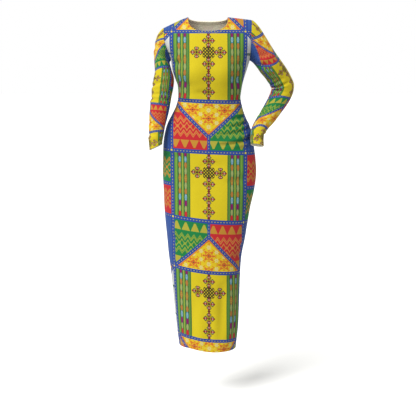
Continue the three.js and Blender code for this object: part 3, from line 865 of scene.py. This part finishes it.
def paintSides(picture, right, away, y, odd):
    # Beyond the edge band: a white panel in one field, red and green in the other, blue elsewhere.
    size = sides
    outside = away - (printSizes["edgeBand"] + printSizes["edgeHalf"])
    field = y.under(printSizes["field"])
    picture.paint("deepBlue", away.every(size["pleat"]).under(size["pleatLine"]) * (1 - field))
    white = Painting(picture.tree, "white").paint("grey", outside.every(size["rib"]).under(size["ribLine"]))
    for bar in size["bars"]:
        white.paint("pine", y.near(*bar))
    fall = (y - outside * size["steepness"]) * size["level"]
    stripes = (y + outside).fold(size["stripe"]).under(size["stripeLine"])
    white.paint("sun", fall.under(0)).paint("red", fall.under(0) * stripes)
    white.paint("pine", fall.near(*size["lining"])).paint("blue", abs(fall).under(size["border"]))
    white.paint("dash", dashes(y * size["dashStretch"], fall))
    picture.paint(white, field * (1 - odd))
    green = abs(y.over(size["middle"]) - right).under(0.5)
    mixed = Painting(picture.tree, "red").paint("green", green)
    mixed.paint("ochre", zigzags(away, abs(y.every(size["middle"]) - size["blockMiddle"])))
    mixed.paint("blue", y.near(size["middle"], size["band"])).paint("dash", dashes(away, y - size["middle"]))
    return picture.paint(mixed, field * odd)


def separated(tree, mapName):
    # The two numbers of one of the piece's own maps, in millimetres.
    place = tree.nodes.new("ShaderNodeUVMap")
    place.uv_map = mapName
    parts = tree.nodes.new("ShaderNodeSeparateXYZ")
    tree.links.new(place.outputs[0], parts.inputs[0])
    return [Field(tree, parts.outputs[k]) * (1 / mm) for k in range(2)]


def printGroup():
    # The whole print as one node group, from the piece's own map of the print.
    size = printSizes
    tree = bpy.data.node_groups.new("borderPrint", "ShaderNodeTree")
    tree.interface.new_socket("Color", in_out="OUTPUT", socket_type="NodeSocketColor")
    u, row = separated(tree, "print")
    away, right = abs(u), u.over(0)
    down = row - size["fieldTop"]
    y = down.every(size["cell"])
    odd = down.every(2 * size["cell"]).over(size["cell"])
    m = y - (size["field"] + size["band"])
    p = m + odd * (size["motif"] - m * 2)
    picture = paintSides(Painting(tree, "sideBlue"), right, away, y, odd)
    inPanel = away.under(size["panel"])
    fields = paintField(Painting(tree, "yellow"), away, y)
    picture.paint(fields, inPanel * y.under(size["field"]))
    paintMotif(picture, u, away, p, 1 - abs(right - odd), inPanel * y.over(size["field"]))
    # the dotted bands, upright and level
    upright = away - size["edgeBand"]
    picture.paint("blue", abs(upright).under(size["edgeHalf"])).paint("dash", dashes(row, upright))
    half = size["band"] / 2
    band = abs(y - (size["field"] + half)).least(abs(y - (size["cell"] - half)))
    picture.paint("blue", band.under(half)).paint("dash", dashes(u, band))
    corner = abs(upright).most(band)
    picture.paint("blue", corner.under(size["cornerHalf"])).paint("spark", corner.under(size["cornerSpark"]))
    result = tree.nodes.new("NodeGroupOutput")
    tree.links.new(picture.colour, result.inputs[0])
    return tree


def newMaterial(name, roughness):
    # A material, its tree and its surface shader.
    material = bpy.data.materials.new(name)
    material.use_nodes = True
    shader = next(node for node in material.node_tree.nodes if node.type == "BSDF_PRINCIPLED")
    shader.inputs["Roughness"].default_value = roughness
    return material, material.node_tree, shader


def pattern(tree, kind, **inputs):
    # A texture node on Object coordinates.
    place = tree.nodes.new("ShaderNodeTexCoord")
    node = tree.nodes.new(kind)
    tree.links.new(place.outputs["Object"], node.inputs["Vector"])
    for name, value in inputs.items():
        node.inputs[name].default_value = value
    return node


jersey = {
    # the lamp offset scales all the cloth's colour down to make up for the bright lamps: painted shade over
    # the whole cloth
    "roughness": 0.85, "specular": 0.16, "sheen": 0.03, "sheenRoughness": 0.5, "lampOffsetShade": 0.35, "reverse": 0.62,
    # soft patches and fine grain: scale, detail and share of the shade
    "patches": (9, 4, 0.16), "grain": (420, 2, 0.22), "ground": 0.81,
    # knit loops: their sizes, and the share and ground of the painted shade and highlight that their height
    # puts into the colour
    "wale": 1.2, "course": 1.0, "loop": 0.8, "knitShadeShare": 0.16, "knitShadeGround": 0.93,
    "bump": 0.5, "bumpDistance": 0.0003,
}


def jerseyMaterial(name, group, paleness):
    # The print over a fine knit, a little mottled, with painted shade in the knit's hollows and painted
    # highlight on its loops, and the whole colour darkened to offset the bright lamps, which is painted
    # shade too. Paleness mixes it towards the undyed yarn.
    material, tree, shader = newMaterial(name, jersey["roughness"])
    shader.inputs["Specular IOR Level"].default_value = jersey["specular"]
    shader.inputs["Sheen Weight"].default_value = jersey["sheen"]
    shader.inputs["Sheen Roughness"].default_value = jersey["sheenRoughness"]
    printed = tree.nodes.new("ShaderNodeGroup")
    printed.node_tree = group
    shade = jersey["ground"]
    for scale, detail, share in (jersey["patches"], jersey["grain"]):
        noise = pattern(tree, "ShaderNodeTexNoise", Scale=scale, Detail=detail)
        shade = Field(tree, noise.outputs["Fac"]) * share + shade
    # knit: columns of small loops, each slanting up to its middle
    across, along = separated(tree, "cloth")
    column = across.fold(jersey["wale"])
    loop = (along + column).fold(jersey["course"])
    height = column * (1 / jersey["wale"]) + loop * (jersey["loop"] / jersey["course"])
    # the loops' height darkens the colour in the hollows and lightens it on the tops, painted shade and
    # painted highlight, and the lamp offset darkens all of it, painted shade
    shade = shade * (height * jersey["knitShadeShare"] + jersey["knitShadeGround"]) * jersey["lampOffsetShade"]
    mottledAndShaded = mixColours(tree, 1, printed.outputs[0], shade, "MULTIPLY")
    pale = mixColours(tree, paleness, mottledAndShaded, linear(ink["yarn"]))
    tree.links.new(pale, shader.inputs["Base Color"])
    bump = tree.nodes.new("ShaderNodeBump")
    bump.inputs["Strength"].default_value = jersey["bump"]
    bump.inputs["Distance"].default_value = jersey["bumpDistance"]
    tree.links.new(height.socket, bump.inputs["Height"])
    tree.links.new(bump.outputs[0], shader.inputs["Normal"])
    return material


yarn = {"roughness": 0.6, "twist": 700}


def threadMaterial():
    # Twisted thread: a fine slanting wave over the stitch.
    material, tree, shader = newMaterial("thread", yarn["roughness"])
    twist = pattern(tree, "ShaderNodeTexWave", Scale=yarn["twist"])
    twist.bands_direction = "DIAGONAL"
    colour = mixColours(tree, twist.outputs["Fac"], linear(ink["threadDark"]), linear(ink["thread"]))
    tree.links.new(colour, shader.inputs["Base Color"])
    return material


printNodes = printGroup()
printedSide = jerseyMaterial("printedJersey", printNodes, 0)
wrongSide = jerseyMaterial("jerseyReverse", printNodes, jersey["reverse"])
thread = threadMaterial()
print("print and cloth materials made")

# front and back

panelGrid = {"columns": 137, "lowerRows": 230, "upperRows": 42}


def panelPoints(name):
    # Turn runs across from -1 to 1 and rows run from the hem up, first by height and then by climb.
    turn = np.linspace(-1, 1, panelGrid["columns"])[None]
    z = np.linspace(hem["z"], underarm["z"], panelGrid["lowerRows"])[:, None]
    climb = np.linspace(0, 1, panelGrid["upperRows"])[1:, None]
    lower = lowerPoints(name, turn + 0 * z, z + 0 * turn)
    upper = upperPoints(name, turn + 0 * climb, climb + 0 * turn)
    turns = np.broadcast_to(turn, (len(lower) + len(upper), turn.size))
    return np.concatenate([lower, upper]), turns


def makePanel(name, creases):
    # Creases, the seams' grooves and the dents under the stitches move the cloth along its normals,
    # and its wall is thicker where an edge is turned in.
    points, turns = panelPoints(name)
    half = cloth["gap"] / 2
    # the edges in turn: hem, right side, top, left side
    grid = addEdges(np.concatenate([points, turns[..., None]], -1), [0, half, half, half])
    points, turns = grid[..., :3], grid[..., 3]
    z = points[..., 2]
    middle = np.stack([np.where(z < underarm["z"], section("centre", z), 0), 0 * z, z], -1)
    normals = gridNormals(points, middle)
    u, row = bodyPrint(name, points)
    side = np.minimum(lengthsFrom(points, 1, False), lengthsFrom(points, 1, True))
    low, top = lengthsFrom(points, 0, False), lengthsFrom(points, 0, True)
    neckHere = ease((neck["share"] - np.abs(turns)) / neck["blend"])
    shoulder = top + farOff * neckHere
    out = creaseOut(creases, u, z) * clearOf(np.minimum(side, shoulder))
    out += seamOut(side, z) + seamOut(shoulder, points[..., 0])
    out -= stitchedDent(low, "hem") + neckHere * stitchedDent(top, "neck")
    thick = np.maximum(turnedIn(low, cloth["hemTurn"]), neckHere * turnedIn(top, cloth["neckTurn"]))
    maps = {"print": (u, row), "cloth": (u, z)}
    thing, outer = clothWall(name + "Panel", points, normals, out, thick, maps)
    chosen = np.abs(turns[-1]) < neck["share"] - neck["stitchEnd"]
    neckLayers = [np.flip(layer, 0)[:, chosen] for layer in (outer, normals, top)]
    lines = stitchLines("hem", outer, normals, low) + stitchLines("neck", *neckLayers)
    return thing, makeStitches(name + "Stitches", lines)


frontPanel, frontStitches = makePanel("front", frontCreases)
backPanel, backStitches = makePanel("back", backCreases)
print("front and back made")

# sleeves

sleeves = {
    "left": {
        "x": [-170.5, -168.5, -171.5, -176, -180.5, -185, -190, -194, -196.5, -198.5, -198.5],
        "y": [-12, -23, -31, -36, -40, -45, -50, -55, -61, -66, -70],
        "z": [-205, -232, -260, -290, -320, -350, -380, -410, -440, -465, -490],
        "half": [32, 39, 40, 38.5, 38, 37, 34.5, 31, 28.5, 26.5, 24.5],
        "deep": [43, 41, 39.5, 38.5, 37.5, 36, 33.5, 31, 29, 27.5, 26.5],
        "slant": [0, 0, 0, 0, 0, 0, 1, 3, 6, 9, 11],
    },
    "right": {
        "x": [239, 254.5, 269.5, 281.5, 289, 287, 279, 268, 255, 230, 211, 197, 189, 186.5, 188],
        "y": [16, 25, 34, 41, 44, 43, 39, 31, 21, 0, -17, -32, -45, -55, -63],
        "z": [-185, -204, -225, -246, -266, -285, -304, -323, -342, -378, -401, -420, -438, -458, -483],
        "half": [45.5, 44.5, 44, 44, 44, 42, 40.5, 38.5, 36.5, 33.5, 30.5, 28.5, 27, 26, 25],
        "deep": [45, 43.5, 42, 41, 41, 40, 39, 37, 36, 33, 31, 29.5, 28.5, 27.5, 26.5],
        "slant": [0, 0, 0, 0, 0, 0, 0, 0, 0, 0, 0, 0, 2, 4, 5],
    },
}
sleeveHead = {
    "bodyPull": {"left": 1, "right": 0.6}, "ownTop": {"left": 0.2, "right": 0.4},
    "armPull": 1, "ownUnder": 0.35, "frontShare": 0.35, "underGain": 1.4,
}
sleeveGrid = {"columns": 145, "headRows": 34, "ringStep": 3.2, "tangentTurn": 0.1, "seamSteps": 500}
# the print on the sleeves is smaller, its middle lies on the outer side, and its rows lie aslant
sleevePrint = {
    "scale": 0.54,
    "left": {
        "along": [-185, -107, -3, 131, 235, 300], "row": [143, 272.5, 467.5, 732.5, 927.5, 1048],
        "tilt": [-0.05, -0.05, 0.08, 0, 0.2, 0.22], "middle": [160, 160, 160, 160, 156, 150],
    },
    "right": {
        "along": [-221, -143, -27, 157, 305, 380], "row": [143, 272.5, 467.5, 732.5, 927.5, 1062],
        "tilt": [0.6, 0.6, 0.6, -0.75, -0.42, -0.3], "middle": [160, 160, 160, 158, 148, 140],
    },
}


def armholeLoop(side, angles):
    # The armhole seam by equal shares of its length: up the front to the shoulder, down the back.
    sign = -1 if side == "left" else 1
    fine = np.linspace(0, 1, sleeveGrid["seamSteps"])
    turn = np.full_like(fine, sign)
    inner = turn * (1 - sleeveGrid["tangentTurn"])
    points, away = np.zeros((len(angles), 3)), np.zeros((len(angles), 3))
    for name, chosen, share in (
        ("front", angles <= np.pi, angles / np.pi),
        ("back", angles > np.pi, 2 - angles / np.pi),
    ):
        edge = upperPoints(name, turn, fine)
        tangent = edge - upperPoints(name, inner, fine)
        run = np.r_[0, np.cumsum(np.linalg.norm(np.diff(edge, axis=0), axis=1))]
        at = share[chosen] * run[-1]
        for k in range(3):
            points[chosen, k] = np.interp(at, run, edge[:, k])
            away[chosen, k] = np.interp(at, run, tangent[:, k])
    return points, away


def sleeveFrames(side):
    # The arm's centre line through the rings, with an inward and a forward axis carried along it.
    table = sleeves[side]
    knots = np.stack([table["x"], table["y"], table["z"]], -1).astype(float)
    run = np.r_[0, np.cumsum(np.linalg.norm(np.diff(knots, axis=0), axis=1))]
    along = np.linspace(0, run[-1], int(run[-1] / sleeveGrid["ringStep"]) + 1)
    ring = {key: curveThrough(run, values, along) for key, values in table.items()}
    centres = np.stack([ring["x"], ring["y"], ring["z"]], -1)
    ways = unit(np.gradient(centres, axis=0))
    inward = np.array([1.0 if side == "left" else -1.0, 0, 0])
    inwards, forwards = [], []
    for way in ways:
        inward = unit(inward - way * (inward @ way))
        forward = np.array([0, -1.0, 0])
        forward = forward - way * (forward @ way)
        forward = unit(forward - inward * (forward @ inward))
        inwards.append(inward)
        forwards.append(forward)
    return along, ring, centres, ways, np.array(inwards), np.array(forwards)


def sleevePoints(side):
    # Rings are ellipses about the centre line. The head's rows are cubics from the armhole to the
    # first ring, which leave the seam as the body's cloth does and arrive along the arm.
    angles = np.linspace(0, 2 * np.pi, sleeveGrid["columns"])
    along, ring, centres, ways, inwards, forwards = sleeveFrames(side)
    cosine, sine = np.cos(angles)[None, :, None], np.sin(angles)[None, :, None]
    size = {key: ring[key][:, None, None] for key in ("half", "deep", "slant")}
    rings = (
        centres[:, None]
        + inwards[:, None] * size["half"] * cosine
        + forwards[:, None] * size["deep"] * sine
        - ways[:, None] * size["slant"] * cosine
    )
    loop, away = armholeLoop(side, angles)
    under = ((1 + np.cos(angles)) / 2)[:, None]
    away = unit(away) * [1, sleeveHead["frontShare"], 1]
    away = unit(mix(unit(away), -inwards[0] * [1, 0, 0], ease(sleeveHead["underGain"] * under)))
    away = unit(mix(away, ways[0], mix(sleeveHead["ownTop"][side], sleeveHead["ownUnder"], under)))
    span = np.linalg.norm(rings[0] - loop, axis=-1)[None, :, None]
    s = np.linspace(0, 1, sleeveGrid["headRows"])[:-1, None, None]
    rest = 1 - s
    head = (
        loop * (1 + 2 * s) * rest**2
        + rings[0] * (3 - 2 * s) * s**2
        + away * sleeveHead["bodyPull"][side] * span * s * rest**2
        - ways[0] * sleeveHead["armPull"] * span * s**2 * rest
    )
    # distance along the arm and across it, for the print and the creases
    fromFirst = head - centres[0]
    slant, outward = [ring[key][:, None] * np.cos(angles) for key in ("slant", "half")]
    run = np.concatenate([fromFirst @ ways[0], along[:, None] - slant])
    outward = np.concatenate([-fromFirst @ inwards[0], -outward])
    middle = np.concatenate([np.repeat(centres[:1], len(head), 0), centres])
    return np.concatenate([head, rings]), run, outward, middle, angles


def sleevePrintPlace(side, points, run, outward, angles):
    # Across: length round the ring from the print's middle. Along: the run with the slant, read off
    # the print's rows.
    table = sleevePrint[side]
    slant = np.interp(run, table["along"], table["tilt"])
    row = np.interp(run - slant * outward, table["along"], table["row"])
    length = lengthsFrom(points, 1, False)
    turn = np.radians(np.interp(run.mean(1), table["along"], table["middle"]))
    start = np.array([np.interp(one, angles, line) for one, line in zip(turn, length)])
    return (length - start[:, None]) * (-1 if side == "left" else 1), row


def makeSleeve(side, creases):
    # Moved along its normals and thickened as the panels are.
    points, run, outward, middle, angles = sleevePoints(side)
    across, row = sleevePrintPlace(side, points, run, outward, angles)
    middles = np.broadcast_to(middle[:, None], points.shape)
    half = cloth["gap"] / 2
    grid = np.concatenate([points, np.stack([run, across, row], -1), middles], -1)
    grid = addEdges(grid, [half, half, 0, half])
    points, (run, across, row), middles = grid[..., :3], np.moveaxis(grid[..., 3:6], -1, 0), grid[..., 6:]
    normals = gridNormals(points, middles)
    seam = np.minimum(lengthsFrom(points, 1, False), lengthsFrom(points, 1, True))
    top, low = lengthsFrom(points, 0, False), lengthsFrom(points, 0, True)
    out = creaseOut(creases, across, run) * clearOf(np.minimum(seam, top))
    out += seamOut(seam, run) + seamOut(top, points[..., 2]) - stitchedDent(low, "cuff")
    maps = {"print": (across / sleevePrint["scale"], row), "cloth": (across, run)}
    thick = turnedIn(low, cloth["cuffTurn"])
    thing, outer = clothWall(side + "Sleeve", points, normals, out, thick, maps)
    lines = stitchLines("cuff", *[np.flip(layer, 0) for layer in (outer, normals, low)])
    return thing, makeStitches(side + "CuffStitches", lines)


leftSleeve, leftCuffStitches = makeSleeve("left", leftSleeveCreases)
rightSleeve, rightCuffStitches = makeSleeve("right", rightSleeveCreases)
print("sleeves made")

# floor, light and background

studio = {
    "floor": -1.49, "floorSize": 40, "floorTone": (192, 192, 190), "floorRoughness": 0.9, "world": 1.0,
    "aim": (0, 0, -0.6),
}
lamps = {
    "key": {"kind": "SUN", "at": (-2.2, -2.6, 2.5), "spread": 34, "power": 6.8},
    "fill": {"kind": "AREA", "at": (2.8, -3.2, 0.6), "size": 2.6, "power": 10},
    "back": {"kind": "AREA", "at": (0.8, 2.8, 1.9), "size": 2.4, "power": 60},
}


def makeLamp(name, lamp):
    # Faces the studio's aim from where it stands.
    light = bpy.data.lights.new(name, lamp["kind"])
    light.energy = lamp["power"]
    if lamp["kind"] == "SUN":
        light.angle = math.radians(lamp["spread"])
    else:
        light.size = lamp["size"]
    thing = bpy.data.objects.new(name, light)
    thing.location = lamp["at"]
    fromAim = mathutils.Vector(lamp["at"]) - mathutils.Vector(studio["aim"])
    thing.rotation_euler = fromAim.to_track_quat("Z", "Y").to_euler()
    bpy.context.scene.collection.objects.link(thing)


def makeStudio():
    # A level square of floor below the hem, an even pale world and the lamps.
    side = studio["floorSize"] / 2
    corners = np.array([(-side, -side), (side, -side), (side, side), (-side, side)], float)
    corners = np.c_[corners, np.full(4, studio["floor"])] / mm
    material, _, shader = newMaterial("paleFloor", studio["floorRoughness"])
    shader.inputs["Base Color"].default_value = linear(studio["floorTone"])
    meshFrom("floor", corners, np.array([[0, 1, 2, 3]]), [material])
    world = bpy.data.worlds.new("studio")
    world.use_nodes = True
    background = world.node_tree.nodes["Background"]
    background.inputs["Color"].default_value = (1, 1, 1, 1)
    background.inputs["Strength"].default_value = studio["world"]
    bpy.context.scene.world = world
    for name, lamp in lamps.items():
        makeLamp(name, lamp)


makeStudio()
print("studio made")

# what each piece stands for, and the cut of its cloth

pieces = {
    "front": {"cloth": frontPanel, "stitches": frontStitches, "flat": (0.41, 1.27), "area": 0.45},
    "back": {"cloth": backPanel, "stitches": backStitches, "flat": (0.45, 1.29), "area": 0.46},
    "sleeve_left": {"cloth": leftSleeve, "stitches": leftCuffStitches, "flat": (0.25, 0.45), "area": 0.09},
    "sleeve_right": {"cloth": rightSleeve, "stitches": rightCuffStitches, "flat": (0.25, 0.5), "area": 0.11},
}
for node, piece in pieces.items():
    for thing in (piece["cloth"], piece["stitches"]):
        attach(thing, "root")
    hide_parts(node)
